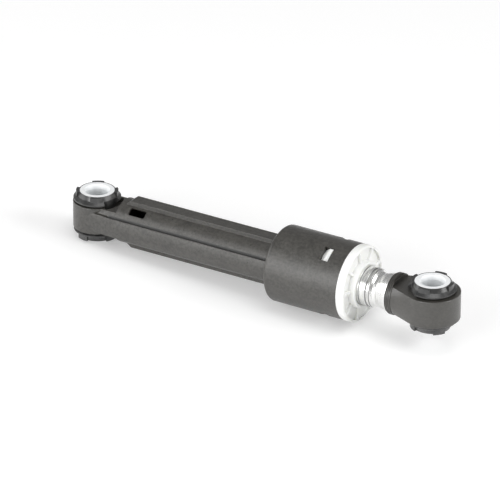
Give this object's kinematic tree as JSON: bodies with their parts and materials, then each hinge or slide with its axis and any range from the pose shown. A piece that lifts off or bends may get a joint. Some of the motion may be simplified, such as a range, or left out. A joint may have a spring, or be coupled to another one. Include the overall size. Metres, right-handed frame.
{
  "type": "washing machine shock absorber",
  "caption": "Friction damper strut: ribbed plastic housing with a wide cuff and clipped cap, sliding steel plunger tube, rubber-bushed eye at each end.",
  "frame": {"origin": "centre of the pin bore in the housing's eye", "axes": "+X along the damper towards the rod's eye, +Z along both pin bores"},
  "size_m": [0.2011, 0.0356, 0.0356],
  "materials": {
    "dark_plastic": "moulded glass-filled plastic, satin, faintly mottled",
    "white_plastic": "moulded white plastic, satin",
    "lining_foam": "greased open foam",
    "bush_rubber": "moulded black rubber",
    "sleeve_plastic": "moulded white plastic, smooth",
    "plated_steel": "bright plated steel with fine drawn lines",
    "guide_plastic": "plain natural plastic"
  },
  "bodies": {
    "housing_side": {"housing": "dark_plastic", "end_cap": "white_plastic", "friction_lining": "lining_foam", "housing_bush": "bush_rubber"},
    "housing_pin_sleeve": {"housing_sleeve": "sleeve_plastic"},
    "guide_ring": {"tube_guide": "guide_plastic"},
    "plunger": {"plunger_tube": "plated_steel", "rod_end": "dark_plastic", "rod_bush": "bush_rubber"},
    "rod_pin_sleeve": {"rod_sleeve": "sleeve_plastic"}
  },
  "joints": [
    {"name": "plunger_slide", "type": "slide", "parent": "housing_side", "child": "guide_ring", "axis": [1, 0, 0], "range_m": [-0.013, 0.06]},
    {"name": "plunger_spin", "type": "hinge", "parent": "guide_ring", "child": "plunger", "pos_m": [0.0369, 0, 0], "axis": [1, 0, 0], "continuous": true},
    {"name": "housing_sleeve_twist", "type": "hinge", "parent": "housing_side", "child": "housing_pin_sleeve", "pos_m": [0, 0, 0], "axis": [0, 0, 1], "range_deg": [-20, 20], "stiffness_Nm_per_rad": 0.5},
    {"name": "rod_sleeve_twist", "type": "hinge", "parent": "plunger", "child": "rod_pin_sleeve", "pos_m": [0.177, 0, 0], "axis": [0, 0, 1], "range_deg": [-20, 20], "stiffness_Nm_per_rad": 0.5}
  ]
}
